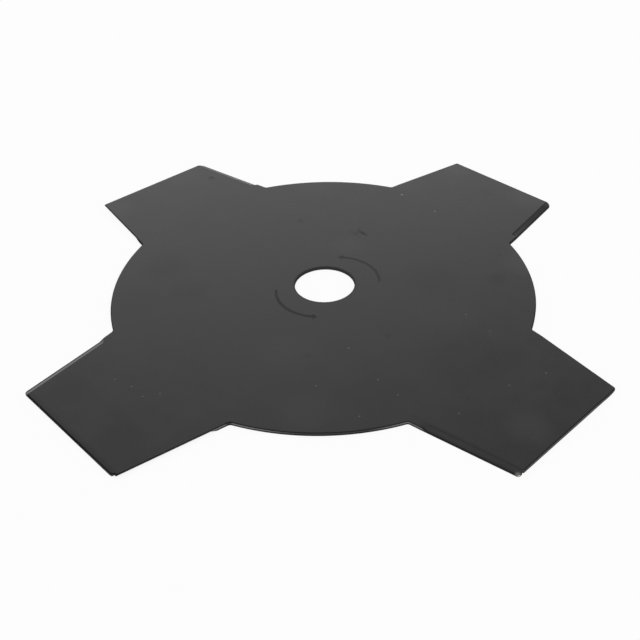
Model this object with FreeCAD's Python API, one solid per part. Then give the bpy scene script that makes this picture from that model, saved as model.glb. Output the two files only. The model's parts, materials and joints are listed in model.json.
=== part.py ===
import FreeCAD, Part
import math
import os

# Lawn edger blade with four teeth: one flat plate of spring steel, stamped to its outline and then
# ground along both sides of every tooth.
#
# Frame: the origin is the centre of the bore on the underside, +Z runs up through the thickness, and
# the teeth point midway between the X and Y axes. Lengths are in millimetres, angles in degrees.
# Seen from above the blade turns counter-clockwise, so the leading side of a tooth is the
# counter-clockwise one.

# Plate and bore
plate_thickness = 1.4
bore_diameter = 25.4

# Outline of the stamping
disc_diameter = 177.7
tooth_count = 4
first_tooth_angle = 45.0
tooth_reach = 123.7
tooth_tip_width = 59.0
tooth_root_width = 73.2
root_fillet_radius = 1.5
leading_corner_radius = 0.5
trailing_corner_radius = 2.0

# Ground sides of the teeth: how far each bevel reaches in from the side, the thickness left standing
# at the outer edge, the full-thickness stretch next to the disc, and the ramp on which the ground
# face climbs back to full thickness
bevel_width = 2.9
edge_land = 0.4
unground_length = 5.0
runout_length = 2.5

# How far cutting bodies run past what they cut
overrun = 2.0

PLATE_UP = FreeCAD.Vector(0, 0, 1)
TOOTH_OUT = FreeCAD.Vector(1, 0, 0)

# A tooth is drawn pointing along +X. Its sides meet the disc at these points and end at the tip.
disc_radius = disc_diameter / 2
root_x = math.sqrt(disc_radius ** 2 - (tooth_root_width / 2) ** 2)
leading_root = FreeCAD.Vector(root_x, tooth_root_width / 2, 0)
leading_tip = FreeCAD.Vector(tooth_reach, tooth_tip_width / 2, 0)
trailing_tip = FreeCAD.Vector(tooth_reach, -tooth_tip_width / 2, 0)
trailing_root = FreeCAD.Vector(root_x, -tooth_root_width / 2, 0)


def turned_to_teeth(shape):
    """Returns one copy of the shape for each tooth, turned about the bore."""
    copies = []
    for index in range(tooth_count):
        copy = shape.copy()
        angle = first_tooth_angle + index * 360.0 / tooth_count
        copy.rotate(FreeCAD.Vector(0, 0, 0), PLATE_UP, angle)
        copies.append(copy)
    return copies


def upright_edges(solid, point):
    """Returns the edges of the plate that stand on the point, at every tooth."""
    places = [spot.Point for spot in turned_to_teeth(Part.Vertex(point))]
    found = []
    for edge in solid.Edges:
        start, end = (corner.Point for corner in (edge.Vertexes[0], edge.Vertexes[-1]))
        is_upright = abs(abs(end.z - start.z) - plate_thickness) < 1e-6
        stands_there = any(math.hypot(start.x - p.x, start.y - p.y) < 1e-4 for p in places)
        if is_upright and stands_there:
            found.append(edge)
    return found


def stamped_plate():
    """The disc with its teeth, its corners rounded and its bore punched, before grinding."""
    tooth_face = Part.Face(Part.makePolygon([
        FreeCAD.Vector(0, 0, 0), trailing_root, trailing_tip, leading_tip, leading_root,
        FreeCAD.Vector(0, 0, 0)]))
    tooth = tooth_face.extrude(PLATE_UP * plate_thickness)
    disc = Part.makeCylinder(disc_radius, plate_thickness)
    plate = disc.fuse(turned_to_teeth(tooth)).removeSplitter()

    rounded_corners = (
        (leading_root, root_fillet_radius),
        (trailing_root, root_fillet_radius),
        (leading_tip, leading_corner_radius),
        (trailing_tip, trailing_corner_radius),
    )
    for point, radius in rounded_corners:
        plate = plate.makeFillet(radius, upright_edges(plate, point))

    bore = Part.makeCylinder(bore_diameter / 2, plate_thickness + 2 * overrun,
                             FreeCAD.Vector(0, 0, -overrun))
    return plate.cut(bore)


def trailing_grind():
    """What the wheel takes off the top of a tooth along its trailing side.

    The wheel runs in from the tip with its face on the bevel, and lifts off on a ramp before it
    reaches the disc. Its profile is drawn lengthwise, square to the bevel, and then swept across.
    """
    along = (trailing_tip - trailing_root).normalize()
    inward = PLATE_UP.cross(along)
    bevel_depth = plate_thickness - edge_land
    slope = math.atan2(bevel_depth, bevel_width)
    up_bevel = inward * math.cos(slope) + PLATE_UP * math.sin(slope)
    off_bevel = along.cross(up_bevel)

    ramp_rise = bevel_depth * math.cos(slope)
    height = ramp_rise + overrun
    ramp_foot = unground_length + runout_length
    ramp_head = ramp_foot - runout_length * height / ramp_rise
    far_end = trailing_root.distanceToPoint(trailing_tip) + overrun

    start = trailing_root + PLATE_UP * edge_land - up_bevel * overrun
    profile = [
        start + along * ramp_foot,
        start + along * far_end,
        start + along * far_end + off_bevel * height,
        start + along * ramp_head + off_bevel * height,
    ]
    sweep = bevel_width / math.cos(slope) + 2 * overrun
    return Part.Face(Part.makePolygon(profile + profile[:1])).extrude(up_bevel * sweep)


def leading_grind():
    """The same cut turned over: it takes the underside of a tooth along its leading side."""
    cut = trailing_grind()
    cut.rotate(PLATE_UP * (plate_thickness / 2), TOOTH_OUT, 180)
    return cut


grinds = turned_to_teeth(trailing_grind()) + turned_to_teeth(leading_grind())
blade = stamped_plate().cut(grinds)
blade = blade.Solids[0]

os.makedirs("parts", exist_ok=True)
blade.exportStep("parts/blade.step")

box = blade.BoundBox
print("blade: valid", blade.isValid(), "faces", len(blade.Faces), "volume mm3", round(blade.Volume, 1))
print("size", round(box.XLength, 3), round(box.YLength, 3), round(box.ZLength, 3))
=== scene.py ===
import json
import math

import bmesh
import bpy
from mathutils import Matrix, Vector


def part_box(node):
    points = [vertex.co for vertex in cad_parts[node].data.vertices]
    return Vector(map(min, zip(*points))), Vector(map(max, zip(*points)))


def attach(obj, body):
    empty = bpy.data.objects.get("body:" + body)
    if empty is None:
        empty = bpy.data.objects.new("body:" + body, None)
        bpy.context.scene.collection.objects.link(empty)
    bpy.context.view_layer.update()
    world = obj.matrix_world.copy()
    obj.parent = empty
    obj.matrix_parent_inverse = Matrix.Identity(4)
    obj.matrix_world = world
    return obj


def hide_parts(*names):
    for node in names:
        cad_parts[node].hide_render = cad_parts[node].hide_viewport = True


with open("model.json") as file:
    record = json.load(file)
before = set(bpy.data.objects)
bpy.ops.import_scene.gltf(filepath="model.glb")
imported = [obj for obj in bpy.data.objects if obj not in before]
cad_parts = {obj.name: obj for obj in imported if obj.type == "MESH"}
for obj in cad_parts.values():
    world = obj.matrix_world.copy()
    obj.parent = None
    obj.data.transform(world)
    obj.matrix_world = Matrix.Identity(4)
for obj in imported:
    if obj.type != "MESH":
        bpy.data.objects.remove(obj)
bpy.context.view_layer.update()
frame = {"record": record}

# Blade blank
# A flat round disc with four wide tapered teeth and a bore, one piece of 1.4 mm spring steel blanked in
# a press. It is drawn in millimetres and made metres at the end. The teeth count counter-clockwise
# from the one at 45 degrees, and each leads with its counter-clockwise side.
blade_low, blade_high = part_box("blade")
plate_thickness = (blade_high.z - blade_low.z) * 1000
bore_mount = next(mount for mount in frame["record"]["mounts"] if mount["name"] == "bore")
bore_radius = bore_mount["dims"]["r_mm"]
disc_radius = 177.7 / 2
tooth_count = 4
first_tooth_angle = math.radians(45)
tooth_turn = math.tau / tooth_count
tooth_reach = 123.7
tooth_tip_width = 59.0
tooth_root_width = 73.2
root_fillet_radius = 1.5
# The radius that each tooth's tip corners have in the photo; the one without a radius is knocked in.
leading_corner_radii = (0.72, 0.72, 0.0, 1.3)
trailing_corner_radii = (3.0, 2.3, 1.8, 0.9)
corner_segments = 6
rim_steps = 28
bore_steps = 96
clamp_ring_radius = 32.0
# Two places nearer than this count as one.
same_place = 0.01

UP = Vector((0, 0, 1))
RIGHT = Vector((1, 0, 0))
CENTRE = Vector((0, 0, 0))
tooth_root_out = math.sqrt(disc_radius ** 2 - (tooth_root_width / 2) ** 2)
disc_gap_angle = tooth_turn - 2 * math.asin(tooth_root_width / 2 / disc_radius)


def on_tooth(tooth, out, across, height=0.0):
    """The point that far out along a tooth's middle line and across towards its leading side."""
    turn = Matrix.Rotation(first_tooth_angle + tooth * tooth_turn, 3, "Z")
    return turn @ Vector((out, across, height))


def vert_at(mesh, point):
    """The vertex of the mesh that lies nearest to the point."""
    return min(mesh.verts, key=lambda vert: (vert.co - point).length_squared)


def round_corner(mesh, point, radius):
    """Rounds the corner of the outline at the point, as the die that cuts it is rounded."""
    corner = vert_at(mesh, point)
    ways = [edge.other_vert(corner).co - corner.co for edge in corner.link_edges]
    tangent_length = radius / math.tan(ways[0].angle(ways[1]) / 2)
    bmesh.ops.bevel(mesh, geom=[corner], offset=tangent_length, offset_type="OFFSET",
                    segments=corner_segments, profile=0.5, affect="VERTICES", material=-1)


plate = bmesh.new()
tooth_corners = [
    plate.verts.new(on_tooth(0, out, across))
    for out, across in (
        (tooth_root_out, -tooth_root_width / 2),
        (tooth_reach, -tooth_tip_width / 2),
        (tooth_reach, tooth_tip_width / 2),
        (tooth_root_out, tooth_root_width / 2),
    )
]
for near, far in zip(tooth_corners, tooth_corners[1:]):
    plate.edges.new((near, far))
bmesh.ops.spin(plate, geom=tooth_corners[-1:], cent=CENTRE, axis=UP, dvec=CENTRE,
               angle=disc_gap_angle, steps=rim_steps, use_merge=False, use_duplicate=False)
quarter = plate.verts[:] + plate.edges[:]
bmesh.ops.spin(plate, geom=quarter, cent=CENTRE, axis=UP, dvec=CENTRE,
               angle=(tooth_count - 1) * tooth_turn, steps=tooth_count - 1,
               use_merge=False, use_duplicate=True)
bmesh.ops.remove_doubles(plate, verts=plate.verts, dist=same_place)

for tooth in range(tooth_count):
    for side, tip_radius in ((1, leading_corner_radii[tooth]), (-1, trailing_corner_radii[tooth])):
        root = on_tooth(tooth, tooth_root_out, side * tooth_root_width / 2)
        round_corner(plate, root, root_fillet_radius)
        tip = on_tooth(tooth, tooth_reach, side * tooth_tip_width / 2)
        if tip_radius:
            round_corner(plate, tip, tip_radius)

# Knocked corners
# Two tip corners have been knocked in use or in the press. One leading corner is pushed back behind
# a small step, and the tip edge has a small bite out of it beside one trailing corner. Each step is
# how far it lies back from the tip, and how far across from the middle line.
STEPPED_TOOTH = 2
corner_step = ((0.0, 28.2), (0.95, 28.6))
set_back_corner = (0.8, 29.63)
BITTEN_TOOTH = 3
tip_bite = ((0.0, -26.7), (0.85, -27.2), (0.0, -27.7))


def knock_tip(tooth, steps):
    """Puts the steps of a knock into a tooth's straight tip edge."""
    tip_edge = next(
        edge for edge in plate.edges
        if edge.calc_length() > tooth_tip_width / 2
        and all(abs(vert.co.dot(on_tooth(tooth, 1, 0)) - tooth_reach) < same_place
                for vert in edge.verts))
    cut = bmesh.ops.subdivide_edges(plate, edges=[tip_edge], cuts=len(steps))["geom_inner"]
    added = [item for item in cut if isinstance(item, bmesh.types.BMVert)]
    added.sort(key=lambda vert: vert.co.dot(on_tooth(tooth, 0, 1)))
    for vert, (back, across) in zip(added, sorted(steps, key=lambda step: step[1])):
        vert.co = on_tooth(tooth, tooth_reach - back, across)


knock_tip(STEPPED_TOOTH, corner_step)
knock_tip(BITTEN_TOOTH, tip_bite)
back, across = set_back_corner
knocked_corner = vert_at(plate, on_tooth(STEPPED_TOOTH, tooth_reach, tooth_tip_width / 2))
knocked_corner.co = on_tooth(STEPPED_TOOTH, tooth_reach - back, across)

# Blank, filled and given its thickness
# The disc is meshed apart from the teeth, and the ring that the clamp washers press on apart from
# the rest of the disc, so that each can be cut further without touching the others.
outline = plate.edges[:]
root_lines = []
for tooth in range(tooth_count):
    ends = [
        vert_at(plate, on_tooth(tooth, tooth_root_out + root_fillet_radius / 2,
                                side * tooth_root_width / 2))
        for side in (-1, 1)
    ]
    root_lines.append(plate.edges.new(ends))
clamp_ring = bmesh.ops.create_circle(plate, radius=clamp_ring_radius, segments=bore_steps)["verts"]
bore = bmesh.ops.create_circle(plate, radius=bore_radius, segments=bore_steps)["verts"]


def edges_among(verts):
    """The edges that have both their ends among the verts."""
    chosen = set(verts)
    return [edge for edge in {e for v in chosen for e in v.link_edges}
            if edge.verts[0] in chosen and edge.verts[1] in chosen]


def tooth_loop(tooth):
    """The outline edges of one tooth beyond its root line."""
    root_line = root_lines[tooth]
    least_out = root_line.verts[0].co.dot(on_tooth(tooth, 1, 0)) - same_place
    most_across = root_line.calc_length() / 2 + root_fillet_radius / 3
    return [
        edge for edge in outline
        if all(vert.co.dot(on_tooth(tooth, 1, 0)) > least_out
               and abs(vert.co.dot(on_tooth(tooth, 0, 1))) < most_across for vert in edge.verts)
    ]


tooth_edges = [tooth_loop(tooth) for tooth in range(tooth_count)]
on_a_tooth = {edge for edges in tooth_edges for edge in edges}
disc_edges = [edge for edge in outline if edge not in on_a_tooth] + root_lines
for loops in (disc_edges + edges_among(clamp_ring), edges_among(clamp_ring + bore)):
    bmesh.ops.triangle_fill(plate, edges=loops, use_beauty=True, normal=UP)
for tooth in range(tooth_count):
    bmesh.ops.contextual_create(plate, geom=tooth_edges[tooth] + [root_lines[tooth]])

under_faces = plate.faces[:]
risen = bmesh.ops.extrude_face_region(plate, geom=under_faces, use_keep_orig=True)["geom"]
bmesh.ops.translate(plate, vec=UP * plate_thickness,
                    verts=[item for item in risen if isinstance(item, bmesh.types.BMVert)])
bmesh.ops.recalc_face_normals(plate, faces=plate.faces)

# Rolled-over rim
# Blanking draws the skin of the sheet down before it shears, so the rim and the bore are rounded
# off wide and shallow on top, and only a little underneath, where the burr was tumbled away.
rollover_width = 0.62
rollover_drop = 0.25
burr_round = 0.1
flat_margin = 0.06
rollover_segments = 4
# A face is flat where its normal is at least this upright, and the rim's edges are at least this sharp.
upright = 0.99
rim_angle = math.radians(80)
for way, level, width, drop in ((1, plate_thickness, rollover_width, rollover_drop),
                                (-1, 0.0, burr_round, burr_round)):
    flat = [face for face in plate.faces if face.normal.z * way > upright]
    bmesh.ops.inset_region(plate, faces=flat, thickness=width + flat_margin, depth=0,
                           use_boundary=True, use_even_offset=True)
    rim = [
        edge for edge in plate.edges
        if edge.is_manifold and edge.calc_face_angle() > rim_angle
        and all(abs(vert.co.z - level) < same_place for vert in edge.verts)
    ]
    rounded = bmesh.ops.bevel(plate, geom=rim, offset=width, offset_type="OFFSET",
                              segments=rollover_segments, profile=0.5, affect="EDGES",
                              material=-1)["verts"]
    bmesh.ops.scale(plate, vec=Vector((1, 1, drop / width)), verts=rounded,
                    space=Matrix.Translation((0, 0, -level)))

# The five finishes, in the order in which their materials are added to the mesh. Faces that tilt even
# a little belong to the rim.
FLAT_COAT, SHEARED_COAT, GROUND_COAT, ARROW_COAT, BARE_STEEL = range(5)
quite_upright = 0.995
for face in plate.faces:
    if abs(face.normal.z) < quite_upright:
        face.material_index = SHEARED_COAT

# Rotation arrows
# Two curved arrows show the way that the blade turns. A marking punch pressed them a few hundredths
# of a millimetre into the top face round the bore, before the blade was coated.
arrow_centre = Vector((-2.2, -4.8, plate_thickness))
arrow_pair_centre = Vector((1.5, -1.35, plate_thickness))
arrow_radius = 18.1
arrow_tail_angle = math.radians(178)
arrow_sweep = math.radians(84)
arrow_steps = 24
arrow_line_width = 1.5
arrow_tail_width = 1.0
arrow_taper_angle = math.radians(30)
arrow_head_width = 3.6
arrow_head_length = 2.6
arrow_head_flare = 0.35
arrow_wall = 0.32
arrow_depth = 0.05

clamp_face_start = bore_radius + rollover_width + flat_margin
punch_faces = [
    face for face in plate.faces
    if face.normal.z > upright and all(
        clamp_face_start - same_place < vert.co.xy.length < clamp_ring_radius + same_place
        for vert in face.verts)
]
bmesh.ops.delete(plate, geom=punch_faces, context="FACES")
hole_edges = [edge for edge in plate.edges if edge.is_boundary]
unpunched = set(plate.faces)


def parts_of(faces):
    """The faces with their edges and vertices, as the cutting operators take them."""
    return [part for kind in (
        {vert for face in faces for vert in face.verts},
        {edge for face in faces for edge in face.edges}, faces) for part in kind]


tail_way = Matrix.Rotation(arrow_tail_angle, 3, "Z") @ RIGHT
tail = [
    plate.verts.new(arrow_centre + tail_way * (arrow_radius + side * arrow_line_width / 2))
    for side in (-1, 1)
]
tail_edge = plate.edges.new(tail)
line = bmesh.ops.spin(plate, geom=tail + [tail_edge], cent=arrow_centre, axis=UP, dvec=CENTRE,
                      angle=arrow_sweep, steps=arrow_steps, use_merge=False, use_duplicate=False)
line_end = next(item for item in line["geom_last"] if isinstance(item, bmesh.types.BMEdge))
for vert in {vert for face in plate.faces if face not in unpunched for vert in face.verts}:
    reach = vert.co - arrow_centre
    tail_share = min(1, reach.xy.angle(tail_way.xy) / arrow_taper_angle)
    width = arrow_tail_width + (arrow_line_width - arrow_tail_width) * tail_share
    side = 1 if reach.length > arrow_radius else -1
    vert.co = arrow_centre + reach.normalized() * (arrow_radius + side * width / 2)

end_middle = (line_end.verts[0].co + line_end.verts[1].co) / 2
outward = (end_middle - arrow_centre).normalized()
forward = UP.cross(outward)
for advance, width in ((arrow_head_flare, arrow_head_width), (arrow_head_length, 0)):
    grown = bmesh.ops.extrude_edge_only(plate, edges=[line_end])["geom"]
    line_end = next(item for item in grown if isinstance(item, bmesh.types.BMEdge))
    for vert in line_end.verts:
        side = 1 if (vert.co - end_middle).dot(outward) > 0 else -1
        vert.co = end_middle + forward * advance + outward * side * width / 2
bmesh.ops.remove_doubles(plate, verts=line_end.verts, dist=same_place)
arrow = [face for face in plate.faces if face not in unpunched]
bmesh.ops.spin(plate, geom=parts_of(arrow), cent=arrow_pair_centre, axis=UP, dvec=CENTRE,
               angle=math.pi, steps=1, use_merge=False, use_duplicate=True)
arrows = [face for face in plate.faces if face not in unpunched]
arrow_edges = [edge for edge in {e for face in arrows for e in face.edges} if edge.is_boundary]
bmesh.ops.triangle_fill(plate, edges=hole_edges + arrow_edges, use_beauty=True, normal=UP)
bmesh.ops.recalc_face_normals(plate, faces=plate.faces)
arrow_walls = bmesh.ops.inset_region(plate, faces=arrows, thickness=arrow_wall, depth=-arrow_depth,
                                     use_boundary=True, use_even_offset=True)["faces"]
for face in arrows + arrow_walls:
    face.material_index = ARROW_COAT

# Ground sides of the teeth
# Every tooth is ground on top along its trailing side and underneath along its leading side, at about
# 19 degrees. The wheel leaves a thin land at the edge and a short ramp where it lifts off before the
# disc. It missed a rough line at the edge of two teeth, and took less off one of them.
full_bevel_width = 2.9
upper_bevel_widths = (full_bevel_width, full_bevel_width, 2.4, full_bevel_width)
upper_unpolished_widths = (0.4, 0.0, 0.6, 0.0)
edge_land = 0.4
unground_length = 5.0
runout_length = 2.5
bevel_slope = (plate_thickness - edge_land) / full_bevel_width
ramp_foot = unground_length + runout_length
# How far past the root line a tooth's faces start, how near to a cut a vertex snaps to it, the room
# left when faces are chosen by a cut, and how a ground face's normal stands
root_line_margin = 0.6
cut_reach = 0.0001
cut_room = 0.001
least_upright = 0.6
least_lean = 0.2
edge_map_name = "along_and_across"
edge_map = plate.loops.layers.uv.new(edge_map_name)


def grind_upper_side(tooth, bevel_width, unpolished_width):
    """Grinds the clockwise side of a tooth from above, and leaves its outermost part rough."""
    root = on_tooth(tooth, tooth_root_out, -tooth_root_width / 2)
    along = (on_tooth(tooth, tooth_reach, -tooth_tip_width / 2) - root).normalized()
    inward = UP.cross(along)
    middle_line = on_tooth(tooth, 1, 0)
    root_line_out = tooth_root_out + root_line_margin

    def on_this_tooth(face):
        return all(vert.co.dot(middle_line) > root_line_out for vert in face.verts)

    def within(face, start, end):
        return all(
            (vert.co - root).dot(inward) < bevel_width + cut_room
            and start - cut_room < (vert.co - root).dot(along) < end + cut_room
            for vert in face.verts)

    def cut(faces, point, normal):
        bmesh.ops.bisect_plane(plate, geom=parts_of(faces), dist=cut_reach, plane_co=point,
                               plane_no=normal)

    def strip(start, end):
        return [face for face in plate.faces if on_this_tooth(face) and within(face, start, end)]

    cut([face for face in plate.faces if on_this_tooth(face)], root + inward * bevel_width, inward)
    cut(strip(0, tooth_reach), root + along * ramp_foot, along)
    cut(strip(0, tooth_reach), root + inward * unpolished_width, inward)
    cut(strip(0, ramp_foot), root + along * unground_length,
        along * bevel_width + inward * -runout_length)

    ground = strip(unground_length, tooth_reach)
    for vert in {vert for face in ground for vert in face.verts}:
        inset = (vert.co - root).dot(inward)
        short = max(0, ramp_foot - (vert.co - root).dot(along))
        wheel_height = plate_thickness + bevel_slope * (
            inset - bevel_width + bevel_width * short / runout_length)
        vert.co.z = min(vert.co.z, wheel_height)
    for face in ground:
        face.normal_update()
        is_sloped = least_upright < face.normal.z < upright
        leans_out = min(face.normal.dot(inward), face.normal.dot(along)) < -least_lean
        if is_sloped and leans_out:
            is_rough = all(
                (vert.co - root).dot(inward) < unpolished_width + cut_room for vert in face.verts)
            face.material_index = SHEARED_COAT if is_rough else GROUND_COAT
            for loop in face.loops:
                reach = loop.vert.co - root
                loop[edge_map].uv = (reach.dot(along), reach.dot(inward))


turn_over = Matrix.Rotation(math.pi, 3, "X")
middle_height = Vector((0, 0, plate_thickness / 2))
for bevel_widths, unpolished_widths in (
        (upper_bevel_widths, upper_unpolished_widths),
        ((full_bevel_width,) * tooth_count, (0.0,) * tooth_count)):
    for tooth in range(tooth_count):
        grind_upper_side(tooth, bevel_widths[tooth], unpolished_widths[tooth])
    bmesh.ops.rotate(plate, cent=middle_height, matrix=turn_over, verts=plate.verts)

# Chipped corner
# One trailing corner has lost a crumb of its thin ground edge, and the bare steel shows bright on the
# break. Slivers that the cuts have left behind go too.
CHIPPED_TOOTH = 3
chip_reach = 0.3
chip_room = 4
sliver_size = 0.004
chip_corner = on_tooth(CHIPPED_TOOTH, tooth_reach, -tooth_tip_width / 2, edge_land)
chip_way = on_tooth(CHIPPED_TOOTH, 0.6, -0.6, 0.7).normalized()
near_chip = [face for face in plate.faces
             if any((vert.co - chip_corner).length < chip_room for vert in face.verts)]
bmesh.ops.bisect_plane(plate, geom=parts_of(near_chip), dist=cut_reach,
                       plane_co=chip_corner - chip_way * chip_reach, plane_no=chip_way,
                       clear_outer=True)
chip_edges = [edge for edge in plate.edges if edge.is_boundary]
chip = bmesh.ops.holes_fill(plate, edges=chip_edges)["faces"]
for face in chip:
    face.material_index = BARE_STEEL
bmesh.ops.dissolve_degenerate(plate, dist=sliver_size, edges=plate.edges)
bmesh.ops.recalc_face_normals(plate, faces=plate.faces)

# Uneven sides
# The die was not quite even, and stones have dressed the blade since: some sides of the teeth stand a
# tenth to three tenths of a millimetre further out, or further in, than they were drawn.
side_shifts = ((0, 1, 0.09), (0, -1, 0.19), (1, 1, -0.11), (2, -1, -0.26), (3, 1, 0.31), (3, -1, 0.1))
shifted_depth = 4.0
shift_rise = 5.0
side_slant = (tooth_root_width - tooth_tip_width) / 2 / (tooth_reach - tooth_root_out)
for tooth, side, shift in side_shifts:
    outwards = on_tooth(tooth, 1, 0)
    sidewards = on_tooth(tooth, 0, side)
    for vert in plate.verts:
        beyond_root = vert.co.dot(outwards) - tooth_root_out
        half_width = tooth_root_width / 2 - side_slant * beyond_root
        if beyond_root > 0 and vert.co.dot(sidewards) > half_width - shifted_depth:
            vert.co += sidewards * shift * min(1, beyond_root / shift_rise)

# Finished blade
# Its flats and ground sides meet at sharp creases, and the rolled-over rim runs smoothly into both.
# It rides the only body, and stands for the plain blade of the CAD model.
crease_angle = math.radians(40)
metres_per_mm = 0.001
for face in plate.faces:
    face.smooth = True
for edge in plate.edges:
    coats = {face.material_index for face in edge.link_faces}
    edge.smooth = edge.calc_face_angle(0) < crease_angle and coats in (
        {FLAT_COAT}, {SHEARED_COAT}, {FLAT_COAT, SHEARED_COAT}, {GROUND_COAT}, {ARROW_COAT})
for vert in plate.verts:
    vert.co.z = min(max(vert.co.z, 0), plate_thickness)
bmesh.ops.scale(plate, vec=Vector((1, 1, 1)) * metres_per_mm, verts=plate.verts)
blade_mesh = bpy.data.meshes.new("blade_body")
plate.to_mesh(blade_mesh)
plate.free()
blade = bpy.data.objects.new("blade_body", blade_mesh)
bpy.context.scene.collection.objects.link(blade)
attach(blade, "root")
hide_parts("blade")


def linear(code):
    """The linear colour, with full alpha, that an sRGB hex code stands for."""
    parts = [int(code[i:i + 2], 16) / 255 for i in (1, 3, 5)]
    return [part / 12.92 if part <= 0.04045 else ((part + 0.055) / 1.055) ** 2.4
            for part in parts] + [1]


def add(tree, kind, settings=None, links=None):
    """Adds a node, gives it its settings or socket values, and links its sockets."""
    node = tree.nodes.new(kind)
    for name, value in (settings or {}).items():
        if isinstance(name, str) and hasattr(node, name):
            setattr(node, name, value)
        else:
            node.inputs[name].default_value = value
    for name, socket in (links or {}).items():
        tree.links.new(socket, node.inputs[name])
    return node


def new_material(name):
    """An empty node material and its tree, with the socket that its surface goes to."""
    material = bpy.data.materials.new(name)
    material.use_nodes = True
    material.node_tree.nodes.clear()
    output = add(material.node_tree, "ShaderNodeOutputMaterial")
    return material, material.node_tree, output.inputs["Surface"]


# Black coat
# A thin black paint, dipped and baked. It is nearly black in itself, so most of what the eye sees
# is the pale studio mirrored faintly in its satin skin, with a slow drift of tone over the plate.
cloud_size = 14.0
peel_size = 0.7
peel_height = 0.00005
peel_strength = 0.06
# The middle of the range that a noise keeps to, which is spread to the whole before it is used
noise_low = 0.35
noise_high = 0.65
# The part of a spot's radius over which it has its full strength
spot_core = 0.3
# Pure black takes away the little that the coat shows of its own and also paints shade, and the
# greys are bared places; the grey of ground steel also paints highlights on the ground sides.
pure_black = "#000000"
bared_grey = "#A8A6A2"
steel_and_highlight_grey = "#8C8A87"


def coat_ground(tree, deep, light, smooth, rough):
    """The place in millimetres, the drifting colour and gloss, and the fine skin of the coat."""
    place = add(tree, "ShaderNodeTexCoord").outputs["Object"]
    in_mm = add(tree, "ShaderNodeVectorMath", {"operation": "SCALE", "Scale": 1 / metres_per_mm},
                {0: place}).outputs[0]
    cloud = add(tree, "ShaderNodeTexNoise",
                {"Scale": 1 / cloud_size, "Detail": 5, "Roughness": 0.8},
                {"Vector": in_mm}).outputs["Fac"]
    cloud = add(tree, "ShaderNodeMapRange", {"From Min": noise_low, "From Max": noise_high},
                {"Value": cloud}).outputs[0]
    colour = add(tree, "ShaderNodeMix", {"data_type": "RGBA", 6: linear(deep), 7: linear(light)},
                 {0: cloud}).outputs[2]
    gloss = add(tree, "ShaderNodeMapRange", {"To Min": smooth, "To Max": rough},
                {"Value": cloud}).outputs[0]
    peel = add(tree, "ShaderNodeTexNoise", {"Scale": 1 / peel_size, "Detail": 2},
               {"Vector": in_mm}).outputs["Fac"]
    skin = add(tree, "ShaderNodeBump", {"Strength": peel_strength, "Distance": peel_height},
               {"Height": peel}).outputs[0]
    return in_mm, colour, gloss, skin


def spots(tree, in_mm, marks):
    """Adds up soft round spots, each given as x and y, its radius in mm, and its strength."""
    total = None
    for x, y, radius, strength in marks:
        away = add(tree, "ShaderNodeVectorMath",
                   {"operation": "DISTANCE", 1: (x, y, plate_thickness)}, {0: in_mm})
        spot = add(tree, "ShaderNodeMapRange",
                   {"interpolation_type": "SMOOTHSTEP", "From Min": radius,
                    "From Max": radius * spot_core, "To Max": strength},
                   {"Value": away.outputs["Value"]}).outputs[0]
        total = spot if total is None else add(
            tree, "ShaderNodeMath", {"operation": "ADD", "use_clamp": True},
            {0: spot, 1: total}).outputs[0]
    return total


def past_line(tree, in_mm, way, start, end, most=1):
    """A share that grows from none to the most as a place lies from start to end along the way."""
    out = add(tree, "ShaderNodeVectorMath", {"operation": "DOT_PRODUCT", 1: way},
              {0: in_mm}).outputs["Value"]
    return add(tree, "ShaderNodeMapRange", {"From Min": start, "From Max": end, "To Max": most},
               {"Value": out}).outputs[0]


def from_bore(tree, in_mm, start, end):
    """A share that grows from none to all between two distances out from the bore's edge."""
    out = add(tree, "ShaderNodeVectorMath", {"operation": "LENGTH"}, {0: in_mm}).outputs["Value"]
    return add(tree, "ShaderNodeMapRange",
               {"From Min": bore_radius + start, "From Max": bore_radius + end},
               {"Value": out}).outputs[0]


def tinted(tree, colour, code, share):
    """The colour, turned towards another one by a share that varies over the surface."""
    return add(tree, "ShaderNodeMix", {"data_type": "RGBA", 7: linear(code)},
               {0: share, 6: colour}).outputs[2]


def roughened(tree, gloss, share, most):
    """The gloss, made rougher by a share of the most."""
    return add(tree, "ShaderNodeMath", {"operation": "MULTIPLY_ADD", 1: most},
               {0: share, 2: gloss}).outputs[0]


def finish_coat(tree, surface, specular, colour, gloss, skin):
    """The coat's own shader, on what it is painted with."""
    shader = add(tree, "ShaderNodeBsdfPrincipled", {"IOR": 1.5, "Specular IOR Level": specular},
                 {"Base Color": colour, "Roughness": gloss, "Normal": skin})
    tree.links.new(shader.outputs[0], surface)


# The flat faces carry what handling and packing leave: pale specks where grit has marked the coat, a
# scuff and dull smudges, and wide faint patches where the coat dried thinner or thicker. Painted
# shade darkens them round the bore and beside two near edges; beside one of these it is also rougher.
pale_specks = (
    (36.2, 75.5, 0.7, 0.6), (51.3, 59.5, 0.6, 0.5), (10.3, -42.7, 0.45, 0.3),
    (57.8, -21.7, 0.45, 0.3), (66.3, -32.7, 0.4, 0.25), (21.2, -61.2, 0.4, 0.25),
    (28.3, -69.5, 0.4, 0.25), (-1.7, -64.5, 0.4, 0.25), (14.2, -80.5, 0.4, 0.25),
    (84.2, -57.8, 0.4, 0.3), (69.5, -64.5, 0.4, 0.25), (49.5, -79.2, 0.4, 0.25),
    (-69.3, -64.3, 0.4, 0.25), (-64.2, -69.7, 0.4, 0.25), (-58.2, -68.3, 0.4, 0.25),
    (-76.2, -60.3, 0.4, 0.25),
)
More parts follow.
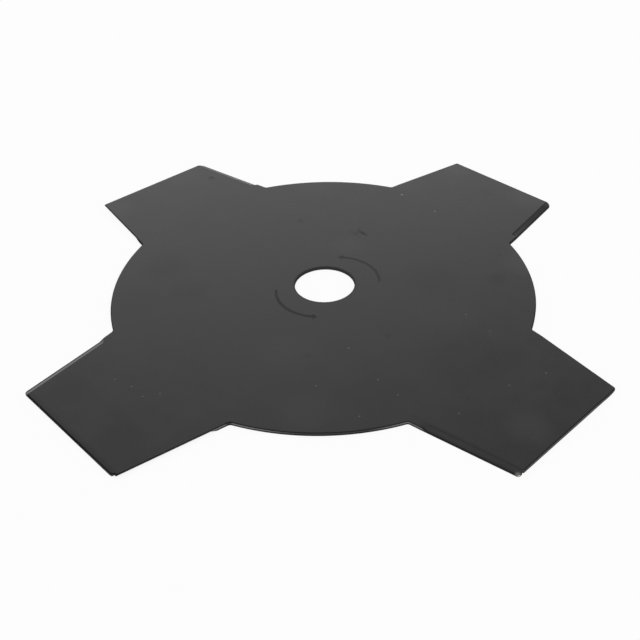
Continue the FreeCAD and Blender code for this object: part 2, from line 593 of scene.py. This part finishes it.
thin_patches = (
    (74.0, -86.7, 12.0, 0.02), (-13.0, -44.9, 16.0, 0.01), (9.8, 29.5, 10.0, 0.016),
    (49.0, -21.2, 16.0, 0.008), (-3.4, -79.0, 14.0, 0.012), (88.0, 15.0, 13.0, 0.026),
    (99.0, 73.0, 14.0, 0.024), (-103.0, 62.0, 13.0, 0.02), (-75.0, 94.0, 12.0, 0.018),
    (66.0, 102.0, 11.0, 0.018), (-6.0, 87.0, 15.0, 0.016), (40.0, 87.0, 11.0, 0.016),
)
thick_patches = (
    (-69.5, 13.0, 13.0, 0.65), (46.0, 4.2, 16.0, 0.4), (53.0, -50.0, 20.0, 0.4),
    (52.4, -82.6, 13.0, 0.35), (-92.0, -66.0, 11.0, 0.55), (-68.5, -90.5, 12.0, 0.5),
    (20.4, -68.0, 16.0, 0.25), (-77.2, -10.9, 16.0, 0.3), (36.7, -85.2, 2.2, 1.0),
    (-57.0, -5.5, 12.0, 0.5), (71.5, -48.0, 13.0, 0.3), (84.0, -84.0, 9.0, 0.3),
)
dull_smudges = (
    (-59.8, 93.2, 1.8, 0.5), (77.0, 21.5, 0.8, 0.7), (11.3, 41.3, 1.8, 0.2),
    (13.2, 39.6, 1.9, 0.3), (14.8, 43.5, 1.6, 0.3), (15.0, 41.6, 1.6, 0.4),
    (16.2, 40.8, 1.3, 0.6), (17.1, 39.7, 1.3, 0.7), (18.3, 38.6, 1.3, 0.4),
    (-12.5, 51.2, 2.4, 0.3), (-5.3, -47.2, 2.4, 0.3), (25.8, -35.0, 2.4, 0.3),
    (74.0, 3.3, 6.0, 0.25), (79.0, 76.7, 5.0, 0.1),
)
crease_shade_inset = 3.0
crease_shade_width = 1.6
crease_shade_reach = 27.0
crease_shade_strength = 0.9
flat_coat, flat_tree, flat_surface = new_material("black_baked_coat")
in_mm, colour, gloss, skin = coat_ground(flat_tree, "#131314", "#1C1C1D", 0.26, 0.34)
smudge = spots(flat_tree, in_mm, dull_smudges)
colour = tinted(flat_tree, colour, pure_black, smudge)
colour = tinted(flat_tree, colour, pure_black, spots(flat_tree, in_mm, thick_patches))
# Painted shade: the flat face darkens towards the edge of the bore.
colour = tinted(flat_tree, colour, pure_black, from_bore(flat_tree, in_mm, 1.8, 0.6))
# Painted shade beside the crease along one tooth's ground side; the same share makes the coat rougher.
side_root = on_tooth(BITTEN_TOOTH, tooth_root_out, -tooth_root_width / 2)
side_tip = on_tooth(BITTEN_TOOTH, tooth_reach, -tooth_tip_width / 2)
side_inward = UP.cross((side_tip - side_root).normalized())
crease_at = side_root.dot(side_inward) + full_bevel_width
crease_shade_middle = (side_root + side_tip) / 2 + side_inward * crease_shade_inset
beside_crease = add(
    flat_tree, "ShaderNodeMath", {"operation": "MULTIPLY"},
    {0: past_line(flat_tree, in_mm, side_inward, crease_at + crease_shade_width, crease_at),
     1: spots(flat_tree, in_mm, ((crease_shade_middle.x, crease_shade_middle.y, crease_shade_reach, crease_shade_strength),))},
).outputs[0]
colour = tinted(flat_tree, colour, pure_black, beside_crease)
# Painted shade towards the tip of the stepped tooth.
beside_tip = past_line(flat_tree, in_mm, on_tooth(STEPPED_TOOTH, 1, 0), 121.0, 122.6)
colour = tinted(flat_tree, colour, pure_black, beside_tip)
gloss = roughened(flat_tree, gloss, smudge, 0.35)
gloss = roughened(flat_tree, gloss, beside_crease, 0.2)
colour = tinted(flat_tree, colour, bared_grey, spots(flat_tree, in_mm, pale_specks + thin_patches))
finish_coat(flat_tree, flat_surface, 0.53, colour, gloss, skin)

# The sheared wall is rough under a thin coat, so it looks dull and nearly black. Above half its height
# a painted highlight makes a paler band, clearest beside the roots of two teeth. The bore's wall is
# painted paler as light, and painted shade makes two roots and one tip as good as black.
band_low = 0.45
band_full = 0.95
band_high = 1.25
band_edge = 0.1
speckle_size = 0.8
rim_highlight_places = (
    (-31.4, -83.1, 26.0, 0.8), (31.4, -83.1, 16.0, 0.8), (0.0, -88.8, 60.0, 0.2),
    (87.5, -87.5, 45.0, 0.75), (-53.5, -97.0, 32.0, 0.35),
)
# Painted shade in the two roots of the stepped tooth, where the wall turns nearly black.
shaded_root = on_tooth(STEPPED_TOOTH, tooth_root_out + 0.6, tooth_root_width / 2 + 0.3)
shaded_side_root = on_tooth(STEPPED_TOOTH, tooth_root_out + 3, -tooth_root_width / 2 + 0.5)
root_shade_spots = (
    (shaded_root.x, shaded_root.y, 1.8, 0.8), (shaded_side_root.x, shaded_side_root.y, 4.5, 1.0),
)
bare_corner = on_tooth(CHIPPED_TOOTH, 123.0, -29.5)
bared_places = ((bare_corner.x, bare_corner.y, 1.7, 0.5),)
sheared_coat, sheared_tree, sheared_surface = new_material("coat_on_sheared_rim")
in_mm, colour, gloss, skin = coat_ground(sheared_tree, "#19191A", "#1F1F20", 0.75, 0.9)
# Painted light: the bore's wall is made paler.
colour = tinted(sheared_tree, colour, "#2D2D2E", from_bore(sheared_tree, in_mm, 4, 2))
# Painted shade: the wall towards the tip of the stepped tooth turns black.
tip_shade = past_line(sheared_tree, in_mm, on_tooth(STEPPED_TOOTH, 1, 0), 119.0, 122.5)
colour = tinted(sheared_tree, colour, pure_black, tip_shade)
# Painted highlight: a paler band across part of the wall's height, in the places listed, speckled.
height = add(sheared_tree, "ShaderNodeSeparateXYZ", {}, {0: in_mm}).outputs[2]
above = add(sheared_tree, "ShaderNodeMapRange",
            {"From Min": band_low, "From Max": band_full}, {"Value": height}).outputs[0]
below = add(sheared_tree, "ShaderNodeMapRange",
            {"From Min": band_high, "From Max": band_high - band_edge}, {"Value": height}).outputs[0]
band = add(sheared_tree, "ShaderNodeMath", {"operation": "MULTIPLY"}, {0: above, 1: below}).outputs[0]
band = add(sheared_tree, "ShaderNodeMath", {"operation": "MULTIPLY"},
           {0: band, 1: spots(sheared_tree, in_mm, rim_highlight_places)}).outputs[0]
speckle = add(sheared_tree, "ShaderNodeTexNoise", {"Scale": 1 / speckle_size, "Detail": 3},
              {"Vector": in_mm}).outputs["Fac"]
speckle = add(sheared_tree, "ShaderNodeMapRange",
              {"From Min": noise_low, "From Max": noise_high, "To Min": 0.7, "To Max": 1},
              {"Value": speckle}).outputs[0]
band = add(sheared_tree, "ShaderNodeMath", {"operation": "MULTIPLY"},
           {0: band, 1: speckle}).outputs[0]
colour = tinted(sheared_tree, colour, "#808080", band)
colour = tinted(sheared_tree, colour, "#0D0D0E", spots(sheared_tree, in_mm, root_shade_spots))
colour = tinted(sheared_tree, colour, bared_grey, spots(sheared_tree, in_mm, bared_places))
finish_coat(sheared_tree, sheared_surface, 0.2, colour, gloss, skin)

# The ground sides took the same coat over the marks that the wheel left across them, drawn coarser
# than the real 0.3 mm or so, which would not show. Along the crease and the edge the coat is darker
# and rougher in a narrow strip, most on the teeth to the right.
mark_spacing = 2.5
mark_reach = 12.0
mark_share = 0.015
crease_strip = 0.8
crease_line_end = 30
crease_line_start = -5
right_side_start = -5
right_side_end = 5
right_side_share = 0.45
edge_strip = 0.8
edge_strip_core = 0.4
outer_half_end = 0.9
inner_half_start = 1.7
outer_half_share = 0.3
# Painted highlights on the ground sides of two teeth, mostly on their inner half.
highlit_sides = [on_tooth(tooth, 106.0, -29.0) for tooth in (2, 3)]
side_highlight_spots = (
    (highlit_sides[0].x, highlit_sides[0].y, 40.0, 0.34),
    (highlit_sides[1].x, highlit_sides[1].y, 40.0, 0.03),
)
# Painted shade darkens the ground side of the first tooth.
shaded_ground_side = on_tooth(0, 104.0, -29.0)
ground_shade_spots = ((shaded_ground_side.x, shaded_ground_side.y, 60.0, 1.0),)
# Painted highlight towards the tip of the first tooth's ground side.
highlit_tip = on_tooth(0, 122.6, -28.2)
tip_highlight_spots = ((highlit_tip.x, highlit_tip.y, 3.6, 0.08), (highlit_tip.x, highlit_tip.y, 18.0, 0.03))
ground_coat, ground_tree, ground_surface = new_material("coat_on_ground_side")
in_mm, colour, gloss, skin = coat_ground(ground_tree, "#141415", "#1C1C1D", 0.24, 0.36)
side_place = add(ground_tree, "ShaderNodeUVMap", {"uv_map": edge_map_name}).outputs[0]
stretched = add(ground_tree, "ShaderNodeVectorMath",
                {"operation": "MULTIPLY", 1: (1 / mark_spacing, 1 / mark_reach, 0)},
                {0: side_place}).outputs[0]
marks = add(ground_tree, "ShaderNodeTexNoise", {"Scale": 1, "Detail": 3, "Roughness": 0.65},
            {"Vector": stretched}).outputs["Fac"]
mark_shade = add(ground_tree, "ShaderNodeMapRange",
                 {"From Min": 0.45, "From Max": 0.75, "To Max": mark_share},
                 {"Value": marks}).outputs[0]
colour = tinted(ground_tree, colour, steel_and_highlight_grey, mark_shade)
colour = tinted(ground_tree, colour, pure_black, spots(ground_tree, in_mm, ground_shade_spots))
colour = tinted(ground_tree, colour, steel_and_highlight_grey, spots(ground_tree, in_mm, tip_highlight_spots))
across = add(ground_tree, "ShaderNodeSeparateXYZ", {}, {0: side_place}).outputs[1]
crease_darkening = add(ground_tree, "ShaderNodeMapRange",
             {"From Min": full_bevel_width - crease_strip, "From Max": full_bevel_width},
             {"Value": across}).outputs[0]
inner_half = add(ground_tree, "ShaderNodeMapRange",
                 {"From Min": outer_half_end, "From Max": inner_half_start,
                  "To Min": outer_half_share}, {"Value": across}).outputs[0]
side_highlight = add(ground_tree, "ShaderNodeMath", {"operation": "MULTIPLY"},
               {0: spots(ground_tree, in_mm, side_highlight_spots), 1: inner_half}).outputs[0]
colour = tinted(ground_tree, colour, steel_and_highlight_grey, side_highlight)
crease_darkening_most = past_line(ground_tree, in_mm, on_tooth(0, 1, 0), crease_line_start, crease_line_end)
right_side = past_line(ground_tree, in_mm, RIGHT, right_side_start, right_side_end, right_side_share)
crease_darkening_share = add(ground_tree, "ShaderNodeMath", {"operation": "MAXIMUM"},
                {0: crease_darkening_most, 1: right_side}).outputs[0]
crease_darkening = add(ground_tree, "ShaderNodeMath", {"operation": "MULTIPLY"},
             {0: crease_darkening, 1: crease_darkening_share}).outputs[0]
colour = tinted(ground_tree, colour, pure_black, crease_darkening)
gloss = roughened(ground_tree, gloss, crease_darkening, 0.4)
edge_line = add(ground_tree, "ShaderNodeMapRange",
                {"From Min": edge_strip, "From Max": edge_strip_core}, {"Value": across}).outputs[0]
colour = tinted(ground_tree, colour, pure_black, edge_line)
gloss = roughened(ground_tree, gloss, edge_line, 0.4)
colour = tinted(ground_tree, colour, bared_grey, spots(ground_tree, in_mm, bared_places))
finish_coat(ground_tree, ground_surface, 0.36, colour, gloss, skin)

# In the punched arrows the coat pooled and dried matt, so they read as soft dark lines, fainter on
# the side where the punch bit less.
arrow_coat, arrow_tree, arrow_surface = new_material("coat_in_punched_arrow")
in_mm, colour, gloss, skin = coat_ground(arrow_tree, "#161617", "#1B1B1C", 0.45, 0.5)
faint = past_line(arrow_tree, in_mm, RIGHT, -3, 6)
colour = tinted(arrow_tree, colour, "#212122", faint)
finish_coat(arrow_tree, arrow_surface, 0.35, colour, gloss, skin)

# Bare spring steel, freshly broken: bright, with a grain that shows close up.
grain_size = 0.1
bare_steel, steel_tree, steel_surface = new_material("bare_broken_steel")
place = add(steel_tree, "ShaderNodeTexCoord").outputs["Object"]
grain = add(steel_tree, "ShaderNodeTexNoise", {"Scale": 1 / (grain_size * metres_per_mm), "Detail": 2},
            {"Vector": place}).outputs["Fac"]
steel_gloss = add(steel_tree, "ShaderNodeMapRange", {"To Min": 0.35, "To Max": 0.6},
                  {"Value": grain}).outputs[0]
steel_shader = add(steel_tree, "ShaderNodeBsdfPrincipled",
                   {"Base Color": linear("#C8C6C2"), "Metallic": 1.0}, {"Roughness": steel_gloss})
steel_tree.links.new(steel_shader.outputs[0], steel_surface)

for material in (flat_coat, sheared_coat, ground_coat, arrow_coat, bare_steel):
    blade_mesh.materials.append(material)

# Table top
# A sheet of white matt card under the blade. The camera and reflections see it as lit evenly white,
# as it was exposed in the photograph, with a trace of the blade's shadow left on it.
floor_size = 3.0
floor_gap = 0.00003
even_white = 0.88
floor_mesh = bpy.data.meshes.new("table_top")
sheet = bmesh.new()
bmesh.ops.create_grid(sheet, x_segments=1, y_segments=1, size=floor_size)
bmesh.ops.translate(sheet, vec=(0, 0, -floor_gap), verts=sheet.verts)
sheet.to_mesh(floor_mesh)
sheet.free()
floor = bpy.data.objects.new("table_top", floor_mesh)
bpy.context.scene.collection.objects.link(floor)
card, card_tree, card_surface = new_material("white_matt_card")
ray = add(card_tree, "ShaderNodeLightPath").outputs
seen = add(card_tree, "ShaderNodeMath", {"operation": "MAXIMUM"},
           {0: ray["Is Camera Ray"], 1: ray["Is Glossy Ray"]}).outputs[0]
seen = add(card_tree, "ShaderNodeMath", {"operation": "MAXIMUM"},
           {0: seen, 1: ray["Is Transmission Ray"]}).outputs[0]
white = add(card_tree, "ShaderNodeMix",
            {"data_type": "RGBA", 6: linear("#E6E6E6"), 7: linear("#FFFFFF")},
            {0: seen}).outputs[2]
paper = add(card_tree, "ShaderNodeBsdfDiffuse", {}, {"Color": white}).outputs[0]
lit = add(card_tree, "ShaderNodeEmission", {"Color": linear("#FFFFFF"), "Strength": 1}).outputs[0]
share = add(card_tree, "ShaderNodeMath", {"operation": "MULTIPLY", 1: even_white},
            {0: seen}).outputs[0]
top = add(card_tree, "ShaderNodeMixShader", {}, {0: share, 1: paper, 2: lit}).outputs[0]
clear = add(card_tree, "ShaderNodeBsdfTransparent").outputs[0]
from_below = add(card_tree, "ShaderNodeNewGeometry").outputs["Backfacing"]
one_sided = add(card_tree, "ShaderNodeMixShader", {}, {0: from_below, 1: top, 2: clear}).outputs[0]
card_tree.links.new(one_sided, card_surface)
floor_mesh.materials.append(card)

# Camera
# It stands in front of the blade, about 36 cm from the point it looks at, and looks down at 38
# degrees.
camera_aim = Vector((0.015115, -0.02328, 0))
camera_distance = 0.35767
camera_azimuth = math.radians(-0.547)
camera_elevation = math.radians(37.847)
camera_roll = math.radians(0.134)
camera = bpy.data.cameras.new("camera")
camera.lens = 49.625
camera.shift_x = -0.06356
camera.clip_start = 0.01
camera_object = bpy.data.objects.new("camera", camera)
camera_object.matrix_world = (
    Matrix.Translation(camera_aim)
    @ Matrix.Rotation(camera_azimuth, 4, "Z")
    @ Matrix.Rotation(math.radians(90) - camera_elevation, 4, "X")
    @ Matrix.Rotation(camera_roll, 4, "Z")
    @ Matrix.Translation((0, 0, camera_distance))
)
bpy.context.scene.collection.objects.link(camera_object)
bpy.context.scene.camera = camera_object

# Studio light
# A white light tent all round the blade. Its cloth is lit less high up at the back, to the right, to
# the left and a little in the middle, and low down straight behind, and the satin coat mirrors that.
# Each dim patch is the way to its middle, how near to it the dimming starts and ends, and how deep.
dim_patches = (
    ((0.532, 0.447, 0.719), 0.78, 0.985, 0.62),
    ((-0.527, 0.369, 0.766), 0.84, 0.99, 0.45),
    ((-0.052, 0.999, 0.0), 0.961, 0.995, 0.7),
    ((-0.107, 0.606, 0.788), 0.965, 1.0, 0.2),
)
world = bpy.data.worlds.new("white_light_tent")
world.use_nodes = True
bpy.context.scene.world = world
tent_tree = world.node_tree
way = add(tent_tree, "ShaderNodeTexCoord").outputs["Generated"]
brightness = None
for middle, start, end, depth in dim_patches:
    nearness = add(tent_tree, "ShaderNodeVectorMath", {"operation": "DOT_PRODUCT", 1: middle},
                   {0: way}).outputs["Value"]
    dimming = add(tent_tree, "ShaderNodeMapRange",
                  {"From Min": start, "From Max": end, "To Max": depth},
                  {"Value": nearness}).outputs[0]
    brightness = add(tent_tree, "ShaderNodeMath", {"operation": "SUBTRACT", 0: 1},
                     {1: dimming} if brightness is None else {0: brightness, 1: dimming}).outputs[0]
cloth = tent_tree.nodes["Background"]
cloth.inputs["Color"].default_value = linear("#FFFFFF")
tent_tree.links.new(brightness, cloth.inputs["Strength"])
bpy.context.scene.view_settings.view_transform = "Standard"
